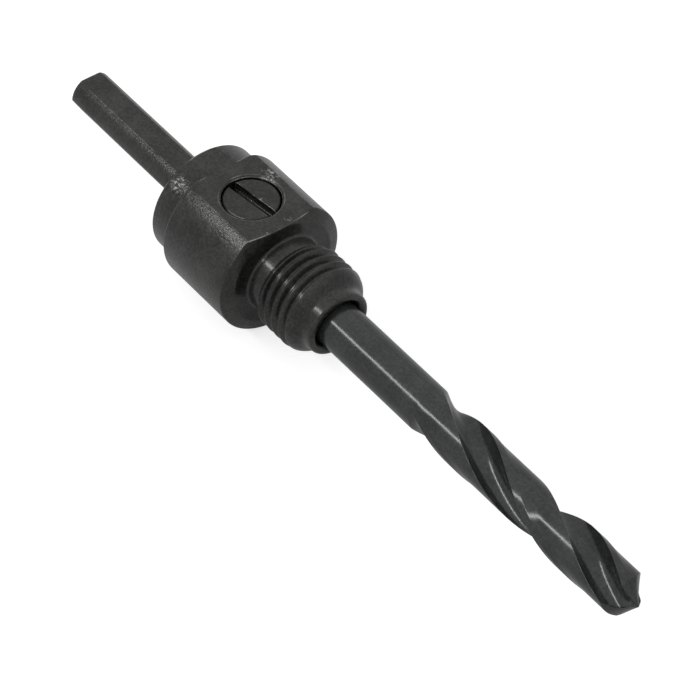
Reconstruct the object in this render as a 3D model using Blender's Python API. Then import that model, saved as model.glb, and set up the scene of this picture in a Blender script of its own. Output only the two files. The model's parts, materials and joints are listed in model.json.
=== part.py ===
"""Hole saw arbor: a turned steel body with a flatted shank, a set screw and a pilot drill.

The arbor is drawn along +X with its pilot drill forward and its screw flat upward.
It is then raised to lie as it comes to rest: level on the round body, because it balances behind the
body's front edge, and flat side up, because the flat makes that side the lighter one.
Lengths are in metres, angles in degrees.
"""
import math

import bmesh
import bpy

MM = 0.001

# Shank, gripped in a drill chuck
SHANK_LENGTH = 24.6 * MM
SHANK_RADIUS = 3.03 * MM
SHANK_FLAT_DISTANCE = 2.57 * MM
SHANK_FLATS = 3
SHANK_END_CHAMFER = 0.12 * MM

# Collar between the shank and the body
COLLAR_LENGTH = 3.95 * MM
COLLAR_RADIUS = 8.08 * MM
COLLAR_CHAMFER = 0.35 * MM

# Body with one milled flat over the set screw, and the shoulder that the hole saw seats on
BODY_LENGTH = 12.3 * MM
BODY_RADIUS = 9.28 * MM
BODY_REAR_CHAMFER = 0.4 * MM
BODY_FRONT_CHAMFER = 0.1 * MM
BODY_FLAT_DISTANCE = 7.75 * MM
FRONT_CONE_LENGTH = 0.55 * MM
SHOULDER_RADIUS = 7.6 * MM
SHOULDER_FILLET = 0.5 * MM

# Neck, half inch thread and rounded nose
NECK_LENGTH = 2.3 * MM
NECK_RADIUS = 5.45 * MM
THREAD_LENGTH = 5.15 * MM
THREAD_RADIUS = 6.3 * MM
THREAD_RUN_IN = 0.9 * MM
NOSE_ARC_RADIUS = 2.45 * MM
LIP_RADIUS = 4.6 * MM
LIP_LENGTH = 1.55 * MM
LIP_CHAMFER = 0.15 * MM

# Pilot drill and the blind bore that holds it
DRILL_RADIUS = 3.175 * MM
DRILL_SHANK_RADIUS = 3.12 * MM
DRILL_LENGTH = 80.0 * MM
DRILL_PAST_SCREW = 6.75 * MM
DRILL_REAR_CHAMFER = 0.3 * MM
FLUTE_LENGTH = 37.8 * MM
FLUTE_RUN_OUT = 9.0 * MM
FLUTE_LEAD = 40.0 * MM
FLUTE_START_ANGLE = 197.0
WEB_THICKNESS = 1.15 * MM
RAKE_ARC_RADIUS = 2.6 * MM
HEEL_ARC_RADIUS = 1.8 * MM
MARGIN_ANGLE = 16.0
LAND_RELIEF = 0.22 * MM
MARGIN_STEP_ANGLE = 1.0
POINT_HALF_ANGLE = 59.0
LIP_RELIEF_ANGLE = 12.0
POINT_ROW_SHARES = (0.5, 0.05)
BORE_CLEARANCE = 0.28 * MM
BORE_END_SPACE = 0.4 * MM
BORE_POINT_SHARE = 0.9
BORE_CHAMFER = 0.45 * MM

# Set screw, square to the upper flat and near the middle of the body
SCREW_SETBACK = 6.05 * MM
SCREW_RADIUS = 3.6 * MM
SCREW_RECESS = 0.25 * MM
SCREW_TIP_GAP = 0.3 * MM
SCREW_TIP_CHAMFER = 0.7 * MM
SCREW_TOP_CHAMFER = 0.2 * MM
SCREW_SLOT_WIDTH = 1.2 * MM
SCREW_SLOT_DEPTH = 1.5 * MM
SCREW_SLOT_TURN = 6.5
SCREW_HOLE_CLEARANCE = 0.3 * MM
SCREW_HOLE_CHAMFER = 0.25 * MM

# Fineness of the meshes
BODY_SIDES = 72
SMALL_SIDES = 48
NOSE_STEPS = 7
FILLET_STEPS = 4
FLUTE_ROWS = 60
POINT_ROWS = 3
ARC_STEPS = 9
SMOOTH_ANGLE = 30.0
CUTTER_MARGIN = 2.0 * MM

# Stations along the arbor's axis, counted from the shoulder face that the hole saw seats on
BODY_FRONT_X = -FRONT_CONE_LENGTH
BODY_REAR_X = BODY_FRONT_X - BODY_LENGTH
COLLAR_REAR_X = BODY_REAR_X - COLLAR_LENGTH
SHANK_REAR_X = COLLAR_REAR_X - SHANK_LENGTH
THREAD_START_X = NECK_LENGTH
THREAD_END_X = THREAD_START_X + THREAD_LENGTH
NOSE_DROP = min(THREAD_RADIUS - LIP_RADIUS, NOSE_ARC_RADIUS)
NOSE_END_X = THREAD_END_X + math.sqrt(NOSE_ARC_RADIUS ** 2 - (NOSE_ARC_RADIUS - NOSE_DROP) ** 2)
LIP_X = NOSE_END_X + LIP_LENGTH
SCREW_X = BODY_FRONT_X - SCREW_SETBACK
DRILL_REAR_X = SCREW_X - DRILL_PAST_SCREW
DRILL_TIP_X = DRILL_REAR_X + DRILL_LENGTH
FLUTE_START_X = DRILL_TIP_X - FLUTE_LENGTH
BORE_RADIUS = DRILL_SHANK_RADIUS + BORE_CLEARANCE
BORE_END_X = DRILL_REAR_X - BORE_END_SPACE


def remove_everything():
    for old in list(bpy.data.objects):
        bpy.data.objects.remove(old, do_unlink=True)


def material(name, colour, roughness):
    """A blackened steel finish."""
    finish = bpy.data.materials.new(name)
    finish.use_nodes = True
    shader = finish.node_tree.nodes["Principled BSDF"]
    shader.inputs["Base Color"].default_value = (*colour, 1.0)
    shader.inputs["Roughness"].default_value = roughness
    shader.inputs["Metallic"].default_value = 1.0
    return finish


def add_object(name, mesh_data):
    mesh = bpy.data.meshes.new(name)
    bmesh.ops.recalc_face_normals(mesh_data, faces=mesh_data.faces)
    mesh_data.to_mesh(mesh)
    mesh_data.free()
    obj = bpy.data.objects.new(name, mesh)
    bpy.context.scene.collection.objects.link(obj)
    return obj


def bridge_rows(mesh_data, rows):
    """Joins rows of vertices into a closed skin with a flat face at each end."""
    for row, following in zip(rows, rows[1:]):
        for i in range(len(row)):
            k = (i + 1) % len(row)
            mesh_data.faces.new((row[i], row[k], following[k], following[i]))
    mesh_data.faces.new(reversed(rows[0]))
    mesh_data.faces.new(rows[-1])


def turned(name, outline, sides):
    """Turns an outline of (position, radius) pairs about the X axis, as a lathe would.

    The middle of a side, not a corner, is at the bottom.
    """
    mesh_data = bmesh.new()
    rows = []
    for x, radius in outline:
        row = []
        for i in range(sides):
            angle = 2 * math.pi * (i + 0.5) / sides
            row.append(mesh_data.verts.new((x, radius * math.cos(angle), radius * math.sin(angle))))
        rows.append(row)
    bridge_rows(mesh_data, rows)
    return add_object(name, mesh_data)


def block(name, low, high):
    """A box between two corners."""
    mesh_data = bmesh.new()
    bmesh.ops.create_cube(mesh_data, size=1.0)
    for vertex in mesh_data.verts:
        for axis in range(3):
            vertex.co[axis] = low[axis] if vertex.co[axis] < 0 else high[axis]
    return add_object(name, mesh_data)


def arc(centre, radius, start, end, steps):
    """Points of an arc in the (position, radius) plane, with both of its ends."""
    points = []
    for i in range(steps + 1):
        angle = math.radians(start + (end - start) * i / steps)
        points.append((centre[0] + radius * math.cos(angle), centre[1] + radius * math.sin(angle)))
    return points


def cut(obj, cutter):
    """Takes the cutter's volume out of an object and keeps the cutter as a wire guide."""
    cutter.display_type = "WIRE"
    cutter.hide_render = True
    modifier = obj.modifiers.new(cutter.name, "BOOLEAN")
    modifier.operation = "DIFFERENCE"
    modifier.solver = "EXACT"
    modifier.object = cutter


def finish_surface(obj, finish):
    obj.data.materials.append(finish)
    obj.data.shade_smooth()
    obj.data.set_sharp_from_angle(angle=math.radians(SMOOTH_ANGLE))


def body_outline():
    """The turned outline from the shank's end to the nose's lip."""
    fillet_centre = (SHOULDER_FILLET, NECK_RADIUS + SHOULDER_FILLET)
    nose_end_angle = math.degrees(math.acos((NOSE_END_X - THREAD_END_X) / NOSE_ARC_RADIUS))
    nose_centre = (THREAD_END_X, THREAD_RADIUS - NOSE_ARC_RADIUS)
    outline = [
        (SHANK_REAR_X, SHANK_RADIUS - SHANK_END_CHAMFER),
        (SHANK_REAR_X + SHANK_END_CHAMFER, SHANK_RADIUS),
        (COLLAR_REAR_X, SHANK_RADIUS),
        (COLLAR_REAR_X, COLLAR_RADIUS - COLLAR_CHAMFER),
        (COLLAR_REAR_X + COLLAR_CHAMFER, COLLAR_RADIUS),
        (BODY_REAR_X, COLLAR_RADIUS),
        (BODY_REAR_X, BODY_RADIUS - BODY_REAR_CHAMFER),
        (BODY_REAR_X + BODY_REAR_CHAMFER, BODY_RADIUS),
        (BODY_FRONT_X - BODY_FRONT_CHAMFER, BODY_RADIUS),
        (BODY_FRONT_X, BODY_RADIUS - BODY_FRONT_CHAMFER),
        (0.0, SHOULDER_RADIUS),
    ]
    outline += arc(fillet_centre, SHOULDER_FILLET, 180.0, 270.0, FILLET_STEPS)
    outline += [
        (THREAD_START_X, NECK_RADIUS),
        (THREAD_START_X + THREAD_RUN_IN, THREAD_RADIUS),
    ]
    outline += arc(nose_centre, NOSE_ARC_RADIUS, 90.0, nose_end_angle, NOSE_STEPS)
    outline += [
        (LIP_X - LIP_CHAMFER, LIP_RADIUS),
        (LIP_X, LIP_RADIUS - LIP_CHAMFER),
    ]
    return outline


def build_body(finish):
    """The body: one turned piece with a milled flat, a flatted shank, a blind bore and a cross hole."""
    body = turned("arbor_body", body_outline(), BODY_SIDES)
    reach = max(BODY_RADIUS, COLLAR_RADIUS) + CUTTER_MARGIN

    low = (COLLAR_REAR_X - CUTTER_MARGIN, -reach, BODY_FLAT_DISTANCE)
    cut(body, block("body_flat_cutter", low, (CUTTER_MARGIN, reach, reach)))

    shank_reach = SHANK_RADIUS + CUTTER_MARGIN
    for i in range(SHANK_FLATS):
        low = (SHANK_REAR_X - CUTTER_MARGIN, -shank_reach, SHANK_FLAT_DISTANCE)
        high = (COLLAR_REAR_X, shank_reach, shank_reach)
        cutter = block(f"shank_flat_cutter_{i}", low, high)
        cutter.rotation_euler.x = 2 * math.pi * i / SHANK_FLATS
        cut(body, cutter)

    bore_point = BORE_RADIUS / math.tan(math.radians(POINT_HALF_ANGLE))
    bore = turned("drill_bore_cutter", [
        (BORE_END_X - bore_point * BORE_POINT_SHARE, BORE_RADIUS * (1.0 - BORE_POINT_SHARE)),
        (BORE_END_X, BORE_RADIUS),
        (LIP_X - BORE_CHAMFER, BORE_RADIUS),
        (LIP_X + CUTTER_MARGIN, BORE_RADIUS + BORE_CHAMFER + CUTTER_MARGIN),
    ], SMALL_SIDES)
    cut(body, bore)

    hole_radius = SCREW_RADIUS + SCREW_HOLE_CLEARANCE
    hole = turned("screw_hole_cutter", [
        (0.0, hole_radius),
        (BODY_FLAT_DISTANCE - SCREW_HOLE_CHAMFER, hole_radius),
        (BODY_FLAT_DISTANCE + CUTTER_MARGIN, hole_radius + SCREW_HOLE_CHAMFER + CUTTER_MARGIN),
    ], SMALL_SIDES)
    stand_on_screw_axis(hole)
    cut(body, hole)
    finish_surface(body, finish)


def stand_on_screw_axis(obj):
    """Turns a piece drawn along X so that it stands on the screw's axis, pointing up."""
    obj.location.x = SCREW_X
    obj.rotation_euler.y = -math.pi / 2


def build_screw(finish):
    """The set screw: a slotted plug with a chamfered tip that bears on the drill's shank."""
    tip = DRILL_SHANK_RADIUS + SCREW_TIP_GAP
    top = BODY_FLAT_DISTANCE - SCREW_RECESS
    screw = turned("set_screw", [
        (tip, SCREW_RADIUS - SCREW_TIP_CHAMFER),
        (tip + SCREW_TIP_CHAMFER, SCREW_RADIUS),
        (top - SCREW_TOP_CHAMFER, SCREW_RADIUS),
        (top, SCREW_RADIUS - SCREW_TOP_CHAMFER),
    ], SMALL_SIDES)
    stand_on_screw_axis(screw)
    reach = SCREW_RADIUS + CUTTER_MARGIN
    slot_side = SCREW_SLOT_WIDTH / 2
    slot = block("slot_cutter", (top - SCREW_SLOT_DEPTH, -slot_side, -reach),
                 (top + CUTTER_MARGIN, slot_side, reach))
    stand_on_screw_axis(slot)
    screw.rotation_euler.z = math.radians(SCREW_SLOT_TURN)
    slot.rotation_euler.z = math.radians(SCREW_SLOT_TURN)
    cut(screw, slot)
    finish_surface(screw, finish)


def flute_half_angle(arc_radius):
    """The angle from a flute's middle to where its arc meets the land."""
    centre = WEB_THICKNESS / 2 + arc_radius
    cosine = (centre ** 2 + DRILL_RADIUS ** 2 - arc_radius ** 2) / (2 * centre * DRILL_RADIUS)
    return math.degrees(math.acos(cosine))


def flute_radius(angle, arc_radius):
    """The distance from the drill's axis to a flute's arc, at an angle from its middle."""
    centre = WEB_THICKNESS / 2 + arc_radius
    turn = math.radians(angle)
    return centre * math.cos(turn) - math.sqrt(arc_radius ** 2 - (centre * math.sin(turn)) ** 2)


def half_section():
    """One land and one flute as (angle, radius) pairs, counted from the flute's middle.

    The rake face leads to the cutting lip, and the shorter arc behind leads to the heel.
    """
    rake = flute_half_angle(RAKE_ARC_RADIUS)
    heel = flute_half_angle(HEEL_ARC_RADIUS)
    points = []
    for i in range(-ARC_STEPS, ARC_STEPS + 1):
        share = i / ARC_STEPS
        reach, arc_radius = (rake, RAKE_ARC_RADIUS) if i < 0 else (heel, HEEL_ARC_RADIUS)
        angle = share * reach
        points.append((angle, min(flute_radius(angle, arc_radius), DRILL_RADIUS)))
    points[-1] = (heel, DRILL_RADIUS - LAND_RELIEF)
    land_end = 180.0 - rake - MARGIN_ANGLE
    for i in range(1, ARC_STEPS):
        points.append((heel + (land_end - heel) * i / ARC_STEPS, DRILL_RADIUS - LAND_RELIEF))
    points.append((land_end, DRILL_RADIUS - LAND_RELIEF))
    points.append((land_end + MARGIN_STEP_ANGLE, DRILL_RADIUS))
    points.append((land_end + MARGIN_ANGLE / 2, DRILL_RADIUS))
    return points


def drill_section(depth):
    """The whole section, from a round shank at depth 0 to full flutes at depth 1."""
    section = []
    for half in (0.0, 180.0):
        for angle, radius in half_section():
            section.append((angle + half, DRILL_SHANK_RADIUS + (radius - DRILL_SHANK_RADIUS) * depth))
    return section


def drill_row(mesh_data, x, section):
    """One row of vertices across the drill, turned to its place on the helix."""
    row = []
    for angle, radius in section:
        turn = math.radians(angle + FLUTE_START_ANGLE + 360.0 * (x - FLUTE_START_X) / FLUTE_LEAD)
        row.append(mesh_data.verts.new((x, radius * math.cos(turn), radius * math.sin(turn))))
    return row


def point_relief(angle):
    """How far the flank behind a cutting lip is ground away, as a share of the radius there."""
    lip_angle = 180.0 - flute_half_angle(RAKE_ARC_RADIUS)
    behind = lip_angle - angle % 180.0
    if angle % 180.0 > lip_angle:
        behind = 0.0
    return math.radians(behind) * math.tan(math.radians(LIP_RELIEF_ANGLE))


def point_row(mesh_data, section, share, reach, base_x):
    """A row on the ground point, at a share of the section's radius and of the way from base_x."""
    slope = 1.0 / math.tan(math.radians(POINT_HALF_ANGLE))
    row = []
    for angle, radius in section:
        out = radius * share
        ground_x = DRILL_TIP_X - out * (slope + point_relief(angle))
        x = base_x + (ground_x - base_x) * reach
        turn = math.radians(angle + FLUTE_START_ANGLE + 360.0 * (x - FLUTE_START_X) / FLUTE_LEAD)
        row.append(mesh_data.verts.new((x, out * math.cos(turn), out * math.sin(turn))))
    return row


def build_drill(finish):
    """The pilot drill: a round shank, two helical flutes that run out of it, and a ground point."""
    mesh_data = bmesh.new()
    section = drill_section(1.0)
    deepest_relief = max(point_relief(angle) for angle, radius in section)
    point_length = DRILL_RADIUS * (1.0 / math.tan(math.radians(POINT_HALF_ANGLE)) + deepest_relief)
    last_full_row = DRILL_TIP_X - point_length
    rows = []
    rear = [(angle, DRILL_SHANK_RADIUS - DRILL_REAR_CHAMFER) for angle, radius in drill_section(0.0)]
    rows.append(drill_row(mesh_data, DRILL_REAR_X, rear))
    rows.append(drill_row(mesh_data, DRILL_REAR_X + DRILL_REAR_CHAMFER, drill_section(0.0)))
    for i in range(FLUTE_ROWS + 1):
        x = FLUTE_START_X + (last_full_row - FLUTE_START_X) * i / FLUTE_ROWS
        depth = min((x - FLUTE_START_X) / FLUTE_RUN_OUT, 1.0)
        rows.append(drill_row(mesh_data, x, drill_section(math.sin(depth * math.pi / 2))))
    for i in range(1, POINT_ROWS + 1):
        rows.append(point_row(mesh_data, section, 1.0, i / POINT_ROWS, last_full_row))
    for share in POINT_ROW_SHARES:
        rows.append(point_row(mesh_data, section, share, 1.0, last_full_row))
    bridge_rows(mesh_data, rows)
    drill = add_object("pilot_drill", mesh_data)
    finish_surface(drill, finish)


def lay_down(pieces):
    """Raises the arbor onto a side of its body, with the middle of its length over the origin."""
    rest = bpy.data.objects.new("rest_position", None)
    bpy.context.scene.collection.objects.link(rest)
    height = BODY_RADIUS * math.cos(math.pi / BODY_SIDES)
    rest.location = (-(SHANK_REAR_X + DRILL_TIP_X) / 2, 0.0, height)
    for piece in pieces:
        piece.parent = rest


def build():
    remove_everything()
    build_body(material("black_oxide_steel", (0.035, 0.035, 0.033), 0.45))
    build_screw(material("black_oxide_screw", (0.03, 0.03, 0.03), 0.5))
    build_drill(material("black_oxide_drill", (0.04, 0.04, 0.042), 0.3))
    lay_down(list(bpy.context.scene.objects))


build()
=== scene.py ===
"""A hole saw arbor lying on a pale floor: blackened steel body, set screw and twist pilot drill.

Meshes are drawn in millimetres, along X from the shoulder that the saw seats on, and angles are in degrees.
"""
import json
import math

import bmesh
import bpy
from mathutils import Matrix, Vector


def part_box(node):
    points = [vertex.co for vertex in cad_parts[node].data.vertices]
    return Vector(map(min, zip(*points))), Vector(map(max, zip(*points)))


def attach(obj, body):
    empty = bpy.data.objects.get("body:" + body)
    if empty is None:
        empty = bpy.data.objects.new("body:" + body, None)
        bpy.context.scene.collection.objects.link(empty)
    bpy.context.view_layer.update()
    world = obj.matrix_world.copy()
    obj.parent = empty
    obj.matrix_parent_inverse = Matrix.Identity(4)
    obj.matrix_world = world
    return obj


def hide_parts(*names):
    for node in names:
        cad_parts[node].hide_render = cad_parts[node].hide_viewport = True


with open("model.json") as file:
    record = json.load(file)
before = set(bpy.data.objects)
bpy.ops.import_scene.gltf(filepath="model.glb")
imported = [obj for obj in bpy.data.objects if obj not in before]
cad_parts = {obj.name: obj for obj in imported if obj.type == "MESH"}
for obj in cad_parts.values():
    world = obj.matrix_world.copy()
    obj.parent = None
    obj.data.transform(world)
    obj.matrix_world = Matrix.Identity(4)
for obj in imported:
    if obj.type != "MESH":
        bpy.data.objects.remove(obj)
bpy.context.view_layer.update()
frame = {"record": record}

# Camera, at the photograph's angle: above the arbor, with the drill coming towards the lower right.
# It is a long lens about 0.4 m away, turned a little about its own axis.
MM = 0.001
CAMERA_PLACE = Vector((205.27, -177.43, 292.94))
TO_CAMERA = Vector((0.5184, -0.4506, 0.7267)).normalized()
CAMERA_UP = Vector((-0.5873, 0.4302, 0.6856))
FOCAL_LENGTH, SENSOR_WIDTH = 164.2, 36.0

camera_data = bpy.data.cameras.new("camera")
camera_data.sensor_width = SENSOR_WIDTH
camera_data.lens = FOCAL_LENGTH
camera_data.clip_start = 10 * MM
camera = bpy.data.objects.new("camera", camera_data)
camera_right = CAMERA_UP.cross(TO_CAMERA).normalized()
camera_up = TO_CAMERA.cross(camera_right)
axes = Matrix((camera_right, camera_up, TO_CAMERA)).transposed()
camera.matrix_world = Matrix.Translation(CAMERA_PLACE * MM) @ axes.to_4x4()
bpy.context.scene.collection.objects.link(camera)
bpy.context.scene.camera = camera


# Arbor body: one piece of steel, turned all over, threaded at the nose, then milled and drilled.
# It is blackened all over, with a satin grain and bright edges behind the shoulder: partly worn black, partly
# a painted highlight. A painted highlight of bright flecks also sits on the collar.
SHOULDER_X = frame["record"]["mounts"][1]["pos_m"][0] / MM
# The arbor lies on the round of its body, so its axis is as high as the body reaches to the side
AXIS_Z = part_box("arbor_body")[1].y / MM

CONE_LENGTH, BODY_LENGTH, COLLAR_LENGTH, SHANK_LENGTH = 0.55, 12.3, 3.95, 24.6
BODY_FRONT = -CONE_LENGTH
BODY_REAR = BODY_FRONT - BODY_LENGTH
COLLAR_REAR = BODY_REAR - COLLAR_LENGTH
SHANK_REAR = COLLAR_REAR - SHANK_LENGTH
SHANK_RADIUS, COLLAR_RADIUS, BODY_RADIUS, SHOULDER_RADIUS = 3.03, 8.08, 9.28, 7.6
SHANK_CHAMFER, COLLAR_CHAMFER, BODY_REAR_CHAMFER, BODY_FRONT_CHAMFER = 0.12, 0.35, 0.4, 0.1
BODY_FLAT, SHANK_FLAT = 7.75, 2.57
SHANK_FLATS = 3
# How far each kind of edge is broken
SHANK_EDGE, BODY_EDGE, CONE_EDGE, SHOULDER_EDGE = 0.05, 0.1, 0.04, 0.15

# Neck, thread and nose: the dome runs on in a fillet to a lip with a rounded rim
NECK_RADIUS, THREAD_RADIUS, LIP_RADIUS = 5.45, 6.3, 4.6
THREAD_START, THREAD_END, DOME_END, LIP_START, LIP = 2.3, 7.45, 9.5, 9.91, 11.55
THREAD_RUN_IN = 0.9
NECK_GAP = 0.02
DOME_ARC = 2.45
NECK_FILLET, DOME_FILLET, LIP_ROUNDING = 0.5, 0.5, 0.6

# Every turned outline closes on a small disc about the axis
END_DISC = 0.4

# Bore for the drill, from the front, and the cross hole for the set screw, from the flat
BORE_BOTTOM, BORE_END, BORE_RADIUS, BORE_CHAMFER = -15.4, -13.75, 3.4, 0.45
SCREW_X = -6.6
HOLE_RADIUS, HOLE_MOUTH, HOLE_CHAMFER, HOLE_OUTSIDE = 3.88, 4.16, 0.22, 6.7

BODY_SIDES, SMALL_SIDES = 256, 128
CUTTER_MARGIN = 2
BODY_REACH, SHANK_REACH = 12, 6


def round_over(points, steps=3):
    """Rounds the corners of an outline; each point is (x, radius) or (x, radius, rounding)."""
    out = []
    for i, point in enumerate(points):
        rounding = point[2] if len(point) > 2 else 0.0
        here = Vector(point[:2])
        if not rounding:
            out.append(tuple(here))
            continue
        before = (Vector(points[i - 1][:2]) - here).normalized() * rounding
        after = (Vector(points[i + 1][:2]) - here).normalized() * rounding
        for k in range(steps + 1):
            t = k / steps
            out.append(tuple(here + before * (1 - t) ** 2 + after * t ** 2))
    return out


def mesh_object(name, mesh_data):
    """Makes an object of a mesh drawn in millimetres from the shoulder, and sets it in the frame."""
    bmesh.ops.recalc_face_normals(mesh_data, faces=mesh_data.faces)
    place = Matrix.Translation(Vector((SHOULDER_X, 0.0, AXIS_Z)) * MM) @ Matrix.Scale(MM, 4)
    bmesh.ops.transform(mesh_data, matrix=place, verts=mesh_data.verts)
    mesh = bpy.data.meshes.new(name)
    mesh_data.to_mesh(mesh)
    mesh_data.free()
    obj = bpy.data.objects.new(name, mesh)
    bpy.context.scene.collection.objects.link(obj)
    return obj


def close_skin(mesh_data, rings):
    """Joins rings of vertices into a closed skin with a flat face at each end."""
    for ring, following in zip(rings, rings[1:]):
        for i in range(len(ring)):
            k = (i + 1) % len(ring)
            mesh_data.faces.new((ring[i], ring[k], following[k], following[i]))
    mesh_data.faces.new(reversed(rings[0]))
    mesh_data.faces.new(rings[-1])


def lathe(rows, sides):
    """A closed skin through rows of (x, radius or function of the angle in radians)."""
    mesh_data = bmesh.new()
    rings = []
    for x, radius in rows:
        ring = []
        for i in range(sides):
            angle = 2 * math.pi * (i + 0.5) / sides
            r = radius(angle) if callable(radius) else radius
            ring.append(mesh_data.verts.new((x, r * math.cos(angle), r * math.sin(angle))))
        rings.append(ring)
    close_skin(mesh_data, rings)
    return mesh_data


def box_mesh(low, high):
    """A box between two corners."""
    mesh_data = bmesh.new()
    bmesh.ops.create_cube(mesh_data, size=1.0)
    for vertex in mesh_data.verts:
        for axis in range(3):
            vertex.co[axis] = low[axis] if vertex.co[axis] < 0 else high[axis]
    return mesh_data


def moved_by(mesh_data, matrix):
    """The same mesh, moved by a matrix."""
    bmesh.ops.transform(mesh_data, matrix=matrix, verts=mesh_data.verts)
    return mesh_data


def cut_with(obj, cutters):
    """Takes all cutters out of an object at once, and removes them."""
    group = bpy.data.collections.new("cutters")
    bpy.context.scene.collection.children.link(group)
    for cutter in cutters:
        group.objects.link(cutter)
        bpy.context.scene.collection.objects.unlink(cutter)
    modifier = obj.modifiers.new("cut", "BOOLEAN")
    modifier.operand_type = "COLLECTION"
    modifier.collection = group
    modifier.solver = "EXACT"
    graph = bpy.context.evaluated_depsgraph_get()
    result = bpy.data.meshes.new_from_object(obj.evaluated_get(graph))
    obj.modifiers.clear()
    obj.data = result
    for cutter in cutters:
        bpy.data.objects.remove(cutter)
    bpy.data.collections.remove(group)


# The half inch thread: a helical groove with a narrow rounded root, which fades out on the dome
THREAD_PITCH, THREAD_ROOT = 1.383, 5.5
THREAD_PHASE, THREAD_PHASE_ANGLE = 4.28, 127.0
FLANK_SLOPE = 1.6
ROOT_HALF_WIDTH, ROOT_ROUNDING, CREST_ROUNDING = 0.06, 0.1, 0.05
FADE_START, FADE_RATE = 8.15, 3.0
THREAD_LIMIT = 8.75
THREAD_ROW = 0.045
DOME_ROWS, LIP_STEPS = 8, 8


def nose_outline(x):
    """The radius of the nose before its thread is cut."""
    if x < THREAD_START + THREAD_RUN_IN:
        return NECK_RADIUS + (THREAD_RADIUS - NECK_RADIUS) * max(x - THREAD_START, 0.0) / THREAD_RUN_IN
    if x <= THREAD_END:
        return THREAD_RADIUS
    return THREAD_RADIUS - DOME_ARC + math.sqrt(max(DOME_ARC ** 2 - (x - THREAD_END) ** 2, 0.0))


def thread_radius(x):
    """A row of the right-hand thread: the lesser of the outline and the helical groove."""
    def radius(angle):
        turn = THREAD_PHASE + THREAD_PITCH * (angle - math.radians(THREAD_PHASE_ANGLE)) / (2 * math.pi)
        offset = ((x - turn) / THREAD_PITCH) % 1.0
        from_groove = abs(offset - 0.5) * THREAD_PITCH
        rise = max(from_groove - ROOT_HALF_WIDTH, 0.0) * FLANK_SLOPE
        groove = THREAD_ROOT + math.sqrt(rise ** 2 + ROOT_ROUNDING ** 2) - ROOT_ROUNDING
        groove += max(x - FADE_START, 0.0) ** 2 * FADE_RATE
        limit = nose_outline(x)
        return 0.5 * (groove + limit - math.sqrt((groove - limit) ** 2 + CREST_ROUNDING ** 2))
    return radius


outline = round_over([
    (SHANK_REAR, END_DISC),
    (SHANK_REAR, SHANK_RADIUS - SHANK_CHAMFER, SHANK_EDGE),
    (SHANK_REAR + SHANK_CHAMFER, SHANK_RADIUS, SHANK_EDGE),
    (COLLAR_REAR, SHANK_RADIUS),
    (COLLAR_REAR, COLLAR_RADIUS - COLLAR_CHAMFER, BODY_EDGE),
    (COLLAR_REAR + COLLAR_CHAMFER, COLLAR_RADIUS, BODY_EDGE),
    (BODY_REAR, COLLAR_RADIUS),
    (BODY_REAR, BODY_RADIUS - BODY_REAR_CHAMFER, BODY_EDGE),
    (BODY_REAR + BODY_REAR_CHAMFER, BODY_RADIUS, BODY_EDGE),
    (BODY_FRONT - BODY_FRONT_CHAMFER, BODY_RADIUS, CONE_EDGE),
    (BODY_FRONT, BODY_RADIUS - BODY_FRONT_CHAMFER, CONE_EDGE),
    (0.0, SHOULDER_RADIUS, SHOULDER_EDGE),
    (0.0, NECK_RADIUS, NECK_FILLET),
    (THREAD_START - NECK_GAP, NECK_RADIUS)])
thread_rows = int((THREAD_LIMIT - THREAD_START) / THREAD_ROW)
for i in range(thread_rows + 1):
    x = THREAD_START + (THREAD_LIMIT - THREAD_START) * i / thread_rows
    outline.append((x, thread_radius(x)))
for i in range(1, DOME_ROWS + 1):
    x = THREAD_LIMIT + (DOME_END - THREAD_LIMIT) * i / DOME_ROWS
    outline.append((x, nose_outline(x)))
lip_outline = [
    (DOME_END, nose_outline(DOME_END)),
    (LIP_START, LIP_RADIUS, DOME_FILLET),
    (LIP, LIP_RADIUS, LIP_ROUNDING),
    (LIP, END_DISC)]
outline += round_over(lip_outline, LIP_STEPS)[1:]
arbor = mesh_object("blackened_arbor", lathe(outline, BODY_SIDES))

flat_low = (COLLAR_REAR - CUTTER_MARGIN, -BODY_REACH, BODY_FLAT)
cutters = [mesh_object("flat", box_mesh(flat_low, (CUTTER_MARGIN, BODY_REACH, BODY_REACH)))]
shank_low = (SHANK_REAR - CUTTER_MARGIN, -SHANK_REACH, SHANK_FLAT)
for i in range(SHANK_FLATS):
    turn = Matrix.Rotation(2 * math.pi * i / SHANK_FLATS, 4, "X")
    shank_cutter = moved_by(box_mesh(shank_low, (COLLAR_REAR, SHANK_REACH, SHANK_REACH)), turn)
    cutters.append(mesh_object(f"shank_flat_{i}", shank_cutter))
bore = [
    (BORE_BOTTOM, END_DISC),
    (BORE_END, BORE_RADIUS),
    (LIP - BORE_CHAMFER, BORE_RADIUS),
    (LIP + 1, BORE_RADIUS + BORE_CHAMFER + 1)]
cutters.append(mesh_object("bore", lathe(bore, SMALL_SIDES)))
stand = Matrix.Translation((SCREW_X, 0, 0)) @ Matrix.Rotation(-math.pi / 2, 4, "Y")
hole = [
    (0.0, HOLE_RADIUS),
    (BODY_FLAT - HOLE_CHAMFER, HOLE_RADIUS),
    (BODY_FLAT, HOLE_MOUTH),
    (BODY_FLAT + CUTTER_MARGIN, HOLE_OUTSIDE)]
cutters.append(mesh_object("hole", moved_by(lathe(hole, SMALL_SIDES), stand)))
cut_with(arbor, cutters)


def smooth(obj, sharp_from):
    """Shades an object smooth, with its edges sharp from an angle upwards."""
    obj.data.shade_smooth()
    obj.data.set_sharp_from_angle(angle=math.radians(sharp_from))


def linear(colour):
    """A hex sRGB colour as the linear values that a shader takes."""
    values = [int(colour[i:i + 2], 16) / 255 for i in (0, 2, 4)]
    return tuple(v / 12.92 if v <= 0.04045 else ((v + 0.055) / 1.055) ** 2.4 for v in values) + (1.0,)


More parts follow.
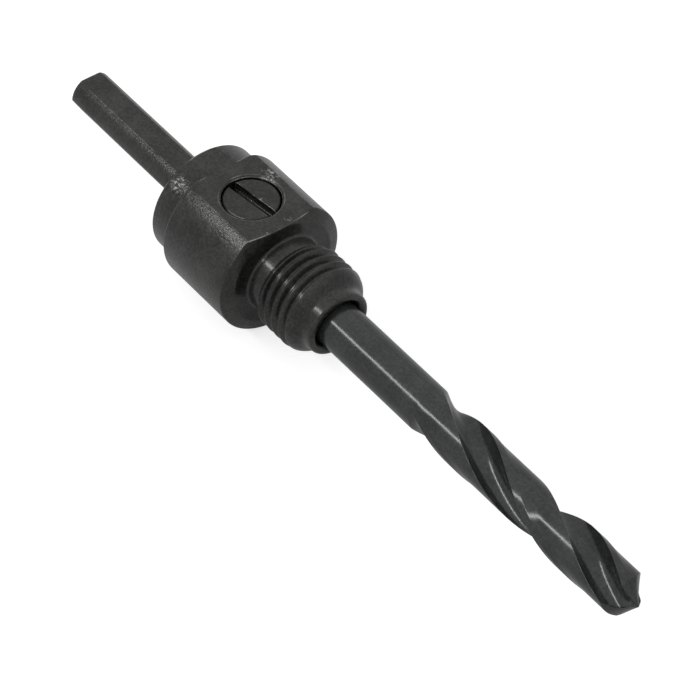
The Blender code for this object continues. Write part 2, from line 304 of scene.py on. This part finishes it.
def add(tree, kind, inputs=None, **settings):
    """Adds a node, sets its options, and sets or links its inputs."""
    made = tree.nodes.new(kind)
    for name, value in settings.items():
        setattr(made, name, value)
    for socket, value in (inputs or {}).items():
        if isinstance(value, bpy.types.NodeSocket):
            tree.links.new(value, made.inputs[socket])
        else:
            made.inputs[socket].default_value = value
    return made


# Black oxide over steel: a thin black scale that is only partly metallic to the eye, under a film of oil.
# Its cloudy patches are about 4 mm apart, and the turning marks 0.11 mm, a usual feed of a lathe tool.
# The grain is drawn 0.4 mm apart, which is coarser than real black oxide, so that it shows.
OXIDE_METALLIC = 0.55
OIL_ROUGHNESS = 0.1
# Bare steel colour where the black has worn, also used as a painted highlight on the bright edges and the
# collar spot
BARE_STEEL_AND_HIGHLIGHT = "d6d7d1"
PATCHES_PER_MM, GRAINS_PER_MM, FEEDS_PER_MM = 0.26, 2.6, 9.0
FEED_DEPTH, GRAIN_DEPTH = 0.01, 0.05
# The finish changes over this length behind the shoulder, and a bright spot is solid in this share of its size
SHOULDER_BLEND, SPOT_CORE = 0.4, 0.3
SHARP_EDGE = 28


def blackened_steel(name, dark, light, roughness, coat, grain, turned, wear_and_highlight, bevel, marks=()):
    """Black oxide over steel: mottled black scale, satin grain, turning marks, and bright edges and spots that
    are partly wear and partly painted highlight.

    Grain and the bright edges, which are wear together with a painted highlight, are given for the part behind
    the shoulder and for the part in front of it.
    Each mark is a bright spot, some of rubbed wear and some a painted highlight: (x, angle about the axis,
    distance from the axis, size).
    """
    finish = bpy.data.materials.new(name)
    finish.use_nodes = True
    tree = finish.node_tree
    shader = tree.nodes["Principled BSDF"]
    shader.inputs["Metallic"].default_value = OXIDE_METALLIC
    shader.inputs["Coat Weight"].default_value = coat
    shader.inputs["Coat Roughness"].default_value = OIL_ROUGHNESS
    place = add(tree, "ShaderNodeTexCoord").outputs["Object"]
    mottle = add(tree, "ShaderNodeTexNoise", {
        "Vector": place, "Scale": PATCHES_PER_MM / MM, "Detail": 6.0, "Roughness": 0.65}).outputs["Fac"]
    speck = add(tree, "ShaderNodeTexNoise", {
        "Vector": place, "Scale": GRAINS_PER_MM / MM, "Detail": 3.0, "Roughness": 0.6}).outputs["Fac"]
    both = add(tree, "ShaderNodeMath", {0: mottle, 1: speck}, operation="ADD").outputs[0]
    share = add(tree, "ShaderNodeMapRange", {"Value": both, "From Min": 0.85, "From Max": 1.2}).outputs[0]
    oxide = add(tree, "ShaderNodeMix", {"Factor": share, 6: linear(dark), 7: linear(light)},
                data_type="RGBA").outputs[2]

    # A bright edge, partly wear and partly a painted highlight, is where a rounded normal leaves the true one;
    # the noise breaks it up
    rounded = add(tree, "ShaderNodeBevel", {"Radius": bevel * MM}, samples=8).outputs[0]
    true_normal = add(tree, "ShaderNodeNewGeometry").outputs["True Normal"]
    apart = add(tree, "ShaderNodeVectorMath", {0: rounded, 1: true_normal},
                operation="DISTANCE").outputs["Value"]
    edge = add(tree, "ShaderNodeMapRange", {"Value": apart, "From Min": 0.28, "From Max": 0.42}).outputs[0]
    patchy = add(tree, "ShaderNodeMapRange", {"Value": mottle, "From Min": 0.4, "From Max": 0.6}).outputs[0]
    lit_and_worn_edge = add(tree, "ShaderNodeMath", {0: edge, 1: patchy}, operation="MULTIPLY").outputs[0]
    along = add(tree, "ShaderNodeSeparateXYZ", {0: place}).outputs["X"]
    shoulder = {"Value": along, "From Min": (SHOULDER_X - SHOULDER_BLEND) * MM, "From Max": SHOULDER_X * MM}
    amount = add(tree, "ShaderNodeMapRange", {**shoulder, "To Min": wear_and_highlight[0], "To Max": wear_and_highlight[1]}).outputs[0]
    worn_and_lit = add(tree, "ShaderNodeMath", {0: lit_and_worn_edge, 1: amount}, operation="MULTIPLY").outputs[0]

    # A spot is a ball of bright flecks that gets sparser outwards; some spots are rubbed wear and some are
    # painted highlights
    flecks = {"Value": speck, "From Min": 0.48, "From Max": 0.75}
    for x, angle, out, size in marks:
        t = math.radians(angle)
        middle = (Vector((SHOULDER_X + x, out * math.cos(t), AXIS_Z + out * math.sin(t))) * MM)[:]
        away = add(tree, "ShaderNodeVectorMath", {0: place, 1: middle},
                   operation="DISTANCE").outputs["Value"]
        ball = {"Value": away, "From Min": size * MM, "From Max": SPOT_CORE * size * MM}
        spot = add(tree, "ShaderNodeMapRange", ball).outputs[0]
        bright = add(tree, "ShaderNodeMapRange", flecks).outputs[0]
        mark = add(tree, "ShaderNodeMath", {0: spot, 1: bright}, operation="MULTIPLY").outputs[0]
        worn_and_lit = add(tree, "ShaderNodeMath", {0: worn_and_lit, 1: mark}, operation="MAXIMUM").outputs[0]
    # Painted highlight and wear: bright edges and spots turn to the bare steel colour
    colour = add(tree, "ShaderNodeMix", {"Factor": worn_and_lit, 6: oxide, 7: linear(BARE_STEEL_AND_HIGHLIGHT)},
                 data_type="RGBA").outputs[2]
    tree.links.new(colour, shader.inputs["Base Color"])

    uneven = add(tree, "ShaderNodeMapRange", {
        "Value": mottle, "From Min": 0.3, "From Max": 0.7,
        "To Min": roughness - 0.04, "To Max": roughness + 0.05}).outputs[0]
    tree.links.new(uneven, shader.inputs["Roughness"])
    feed = add(tree, "ShaderNodeTexNoise", {"W": along, "Scale": FEEDS_PER_MM / MM, "Detail": 2.0},
               noise_dimensions="1D").outputs["Fac"]
    lines = add(tree, "ShaderNodeBump", {
        "Strength": turned, "Distance": FEED_DEPTH * MM, "Height": feed, "Normal": rounded}).outputs[0]
    rise = add(tree, "ShaderNodeMapRange", {**shoulder, "To Min": grain[0], "To Max": grain[1]}).outputs[0]
    bump = add(tree, "ShaderNodeBump", {
        "Strength": rise, "Distance": GRAIN_DEPTH * MM, "Height": speck, "Normal": lines}).outputs[0]
    tree.links.new(bump, shader.inputs["Normal"])
    tree.links.new(bump, shader.inputs["Coat Normal"])
    return finish


# The body's spots are on the collar, on the corner of the flat, at the front of the flat and on the shank.
# The collar's spot is a painted highlight: bright flecks where the long lamp's line of light crosses it.
# The one on the corner of the flat is rubbed wear, and the rest are bright flecks.
BODY_MARKS = [
    (-15.1, 129.0, 8.08, 1.3), (-8.5, 60.4, 8.91, 1.5), (-0.9, 80.5, 7.86, 0.5), (-0.4, 107.5, 8.05, 0.3),
    (-27.5, 118.0, 2.9, 0.25), (-37.5, 124.0, 3.03, 0.25)]
smooth(arbor, SHARP_EDGE)
arbor.data.materials.clear()
arbor.data.materials.append(blackened_steel(
    "black_oxide_turned_steel", dark="181a17", light="383a36", roughness=0.3, coat=0.5, grain=(1.0, 0.12),
    turned=0.4, wear_and_highlight=(1.0, 0.0), bevel=0.3, marks=BODY_MARKS))
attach(arbor, "arbor")
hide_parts("arbor_body")


# Set screw: a slotted plug of hardened steel that clamps the drill, just below the flat in its hole.
# It is turned and slotted, and blackened like the body but with less grain.
SCREW_RADIUS, SCREW_RECESS = 3.7, 0.25
SCREW_TIP, SCREW_TIP_CHAMFER, SCREW_TIP_RADIUS = 3.42, 0.7, 2.9
SCREW_TOP_CHAMFER, SCREW_EDGE = 0.22, 0.05
SLOT_WIDTH, SLOT_DEPTH, SLOT_TURN = 1.3, 1.2, 6.5
SLOT_REACH = 6

screw_top = BODY_FLAT - SCREW_RECESS
screw_outline = round_over([
    (SCREW_TIP, END_DISC),
    (SCREW_TIP, SCREW_TIP_RADIUS),
    (SCREW_TIP + SCREW_TIP_CHAMFER, SCREW_RADIUS),
    (screw_top - SCREW_TOP_CHAMFER, SCREW_RADIUS, SCREW_EDGE),
    (screw_top, SCREW_RADIUS - SCREW_TOP_CHAMFER, SCREW_EDGE),
    (screw_top, END_DISC)])
screw_turn = stand @ Matrix.Rotation(math.radians(SLOT_TURN), 4, "X")
screw = mesh_object("slotted_set_screw", moved_by(lathe(screw_outline, SMALL_SIDES), screw_turn))
slot_low = (screw_top - SLOT_DEPTH, -SLOT_WIDTH / 2, -SLOT_REACH)
slot_high = (screw_top + CUTTER_MARGIN, SLOT_WIDTH / 2, SLOT_REACH)
cut_with(screw, [mesh_object("slot", moved_by(box_mesh(slot_low, slot_high), screw_turn))])
smooth(screw, SHARP_EDGE)
screw.data.materials.clear()
screw.data.materials.append(blackened_steel(
    "black_oxide_screw_steel", dark="181a17", light="383a36", roughness=0.32, coat=0.4, grain=(0.6, 0.6),
    turned=0.0, wear_and_highlight=(0.3, 0.3), bevel=0.2, marks=[(-6.0, 84.0, 7.6, 0.35)]))
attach(screw, "screw")
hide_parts("set_screw")


# Pilot drill: a twist drill of high speed steel with two right-hand flutes and a ground point.
# The flutes are milled and run out into the round shank; lands, margins and point are ground.
DRILL_REAR, DRILL_LENGTH = -13.35, 80.0
DRILL_TIP = DRILL_REAR + DRILL_LENGTH
DRILL_RADIUS, DRILL_SHANK, DRILL_CHAMFER = 3.175, 3.12, 0.3
FLUTE_LENGTH, FLUTE_LEAD, FLUTE_ANGLE, RUN_OUT = 37.8, 40.0, 197.0, 9.0
FLUTE_START = DRILL_TIP - FLUTE_LENGTH
WEB, RAKE_ARC, HEEL_ARC = 1.6, 2.6, 1.8
MARGIN_ANGLE, MARGIN_RISE, LAND_RELIEF = 17.0, 24.0, 0.17
POINT_ANGLE = 118.0
POINT_SLOPE = 1.0 / math.tan(math.radians(POINT_ANGLE / 2))
# The point is ground away gently behind each cutting lip, then steeply down to the heel
LIP_RELIEF, LIP_RELIEF_END, HEEL_RELIEF = 6.0, 45.0, 25.0

ARC_STEPS, LAND_STEPS, RISE_STEPS, MARGIN_STEPS = 20, 16, 12, 3
SHANK_ROWS, SHANK_ROW_LENGTH, SHANK_GAP, FLUTE_ROWS, POINT_ROWS = 5, 8.0, 0.01, 200, 8
POINT_SHARES = (0.8, 0.6, 0.4, 0.2, 0.03)
DRILL_SHARP_EDGE = 30


def flute_side(arc, outer):
    """One side of a flute as (angle, radius) pairs: a round arc from the web out to a radius."""
    centre = WEB / 2 + arc
    span = math.acos((centre ** 2 + arc ** 2 - outer ** 2) / (2 * centre * arc))
    points = []
    for i in range(ARC_STEPS + 1):
        across = arc * math.sin(span * i / ARC_STEPS)
        out = centre - arc * math.cos(span * i / ARC_STEPS)
        points.append((math.degrees(math.atan2(across, out)), math.hypot(across, out)))
    return points


LAND_RADIUS = DRILL_RADIUS - LAND_RELIEF
# Small gaps that keep each edge between two sides sharp, in millimetres and degrees
HEEL_DROP, EDGE_GAP, MARGIN_GAP = 0.05, 1.0, 0.5
RAKE_SIDE = flute_side(RAKE_ARC, DRILL_RADIUS)
HEEL_SIDE = flute_side(HEEL_ARC, LAND_RADIUS - HEEL_DROP)
RAKE, HEEL = RAKE_SIDE[-1][0], HEEL_SIDE[-1][0]


def half_section():
    """One flute and one land as (angle on the round shank, angle on the fluted part, radius).

    The flute's points are spread evenly on the round shank. The land rises in a curve to its margin.
    """
    flute = [(-angle, radius) for angle, radius in reversed(RAKE_SIDE)] + HEEL_SIDE[1:]
    count = len(flute) - 1
    points = [(-RAKE + (RAKE + HEEL) * i / count, angle, radius) for i, (angle, radius) in enumerate(flute)]
    land_start = HEEL + EDGE_GAP
    rise_start = 180.0 - RAKE - MARGIN_ANGLE - MARGIN_RISE
    margin_start = rise_start + MARGIN_RISE + MARGIN_GAP
    land = [(land_start + (rise_start - land_start) * i / LAND_STEPS, LAND_RADIUS) for i in range(LAND_STEPS)]
    for i in range(RISE_STEPS + 1):
        share = i / RISE_STEPS
        land.append((rise_start + MARGIN_RISE * share, LAND_RADIUS + LAND_RELIEF * share ** 2))
    margin_width = MARGIN_ANGLE - MARGIN_GAP - EDGE_GAP
    for i in range(MARGIN_STEPS + 1):
        land.append((margin_start + margin_width * i / MARGIN_STEPS, DRILL_RADIUS))
    return points + [(angle, angle, radius) for angle, radius in land]


def twist(x):
    """How far the flutes have turned at x."""
    return FLUTE_ANGLE + 360.0 * (x - FLUTE_START) / FLUTE_LEAD


def relief(angle):
    """How far the point is ground away, as a share of the radius; across the flute it has no step."""
    place = (angle + RAKE) % 180.0 - RAKE
    behind = 180.0 - RAKE - place
    if place < HEEL:
        behind = (180.0 - RAKE - HEEL) * ((place + RAKE) / (RAKE + HEEL)) ** 2
    gentle = min(behind, LIP_RELIEF_END)
    steep = math.radians(behind - gentle) * math.tan(math.radians(HEEL_RELIEF))
    return math.radians(gentle) * math.tan(math.radians(LIP_RELIEF)) + steep


drill_mesh = bmesh.new()


def drill_ring(points):
    """A ring of vertices through (x, radius, angle) points about the drill's axis."""
    ring = []
    for x, radius, angle in points:
        t = math.radians(angle)
        ring.append(drill_mesh.verts.new((x, radius * math.cos(t), radius * math.sin(t))))
    return ring


section = half_section()
section += [(plain + 180.0, angle + 180.0, radius) for plain, angle, radius in section]
deepest = max(relief(angle) for plain, angle, radius in section)
last_row = DRILL_TIP - DRILL_RADIUS * (POINT_SLOPE + deepest)

rear = [(DRILL_REAR, DRILL_SHANK - DRILL_CHAMFER), (DRILL_REAR + DRILL_CHAMFER, DRILL_SHANK)]
rear += [(FLUTE_START - SHANK_GAP - SHANK_ROW_LENGTH * i, DRILL_SHANK) for i in reversed(range(SHANK_ROWS))]
rings = []
for x, shank in rear:
    rings.append(drill_ring([(x, shank, plain + twist(FLUTE_START)) for plain, angle, radius in section]))
for i in range(FLUTE_ROWS + 1):
    x = FLUTE_START + (last_row - FLUTE_START) * i / FLUTE_ROWS
    depth = math.sin(min((x - FLUTE_START) / RUN_OUT, 1.0) * math.pi / 2)
    points = []
    for plain, angle, radius in section:
        sunk = DRILL_SHANK + (radius - DRILL_SHANK) * depth
        points.append((x, sunk, plain + (angle - plain) * depth + twist(x)))
    rings.append(drill_ring(points))
point_rows = [(1.0, i / POINT_ROWS) for i in range(1, POINT_ROWS + 1)]
point_rows += [(share, 1.0) for share in POINT_SHARES]
for share, reach in point_rows:
    points = []
    for plain, angle, radius in section:
        ground = DRILL_TIP - radius * share * (POINT_SLOPE + relief(angle))
        x = last_row + (ground - last_row) * reach
        points.append((x, radius * share, angle + twist(x)))
    rings.append(drill_ring(points))
close_skin(drill_mesh, rings)
drill = mesh_object("twist_pilot_drill", drill_mesh)
smooth(drill, DRILL_SHARP_EDGE)
# Ground and steam blackened: smoother and a little lighter than the body, with a clear line of light
drill.data.materials.append(blackened_steel(
    "steam_blackened_drill_steel", dark="343635", light="464847", roughness=0.18, coat=0.18,
    grain=(0.1, 0.1), turned=0.2, wear_and_highlight=(0.1, 0.1), bevel=0.08))
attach(drill, "drill")
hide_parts("pilot_drill")


# Floor: a plain pale floor that keeps a faint shadow.
# Its glow is for the camera alone, so it shows white and lights nothing.
FLOOR_HALF_WIDTH = 3.0
FLOOR_COLOUR, FLOOR_ROUGHNESS, FLOOR_GLOW = "cecece", 0.9, 0.68

floor_mesh = bmesh.new()
bmesh.ops.create_grid(floor_mesh, x_segments=1, y_segments=1, size=FLOOR_HALF_WIDTH)
floor_data = bpy.data.meshes.new("floor")
floor_mesh.to_mesh(floor_data)
floor_mesh.free()
floor = bpy.data.objects.new("floor", floor_data)
bpy.context.scene.collection.objects.link(floor)
paper = bpy.data.materials.new("pale_floor")
paper.use_nodes = True
tree = paper.node_tree
shader = tree.nodes["Principled BSDF"]
shader.inputs["Base Color"].default_value = linear(FLOOR_COLOUR)
shader.inputs["Roughness"].default_value = FLOOR_ROUGHNESS
rays = add(tree, "ShaderNodeLightPath").outputs["Is Camera Ray"]
glow = add(tree, "ShaderNodeMath", {0: rays, 1: FLOOR_GLOW}, operation="MULTIPLY").outputs[0]
shader.inputs["Emission Color"].default_value = linear("ffffff")
tree.links.new(glow, shader.inputs["Emission Strength"])
floor_data.materials.append(paper)


# Surround and lamps: a white surround, which the camera sees brighter than it shines, and two soft lamps.
# The long lamp gives the line of light along the drill and body; the wide one lights from above.
SURROUND_LIGHT, SURROUND_SEEN = 0.57, 1.0

world = bpy.data.worlds.new("white_surround")
world.use_nodes = True
tree = world.node_tree
background = tree.nodes["Background"]
rays = add(tree, "ShaderNodeLightPath").outputs["Is Camera Ray"]
strength = add(tree, "ShaderNodeMapRange", {
    "Value": rays, "To Min": SURROUND_LIGHT, "To Max": SURROUND_SEEN}).outputs[0]
tree.links.new(strength, background.inputs["Strength"])
background.inputs["Color"].default_value = linear("ffffff")
bpy.context.scene.world = world


def lamp(name, place, facing, width, height, power):
    """A soft rectangular lamp, in metres and watts; facing is the way from what it lights back to it."""
    data = bpy.data.lights.new(name, "AREA")
    data.shape = "RECTANGLE"
    data.size = width
    data.size_y = height
    data.energy = power
    obj = bpy.data.objects.new(name, data)
    obj.location = place
    obj.rotation_euler = Vector(facing).to_track_quat("Z", "Y").to_euler()
    bpy.context.scene.collection.objects.link(obj)


lamp("strip_lamp", (-0.24, -0.681, 0.7325), facing=(0.0, -0.681, 0.7325), width=1.0, height=0.13, power=3.5)
lamp("top_lamp", (0.0, 0.2, 1.6), facing=(0.0, 0.1, 1.0), width=3.2, height=3.2, power=5.5)

bpy.context.scene.view_settings.view_transform = "Standard"
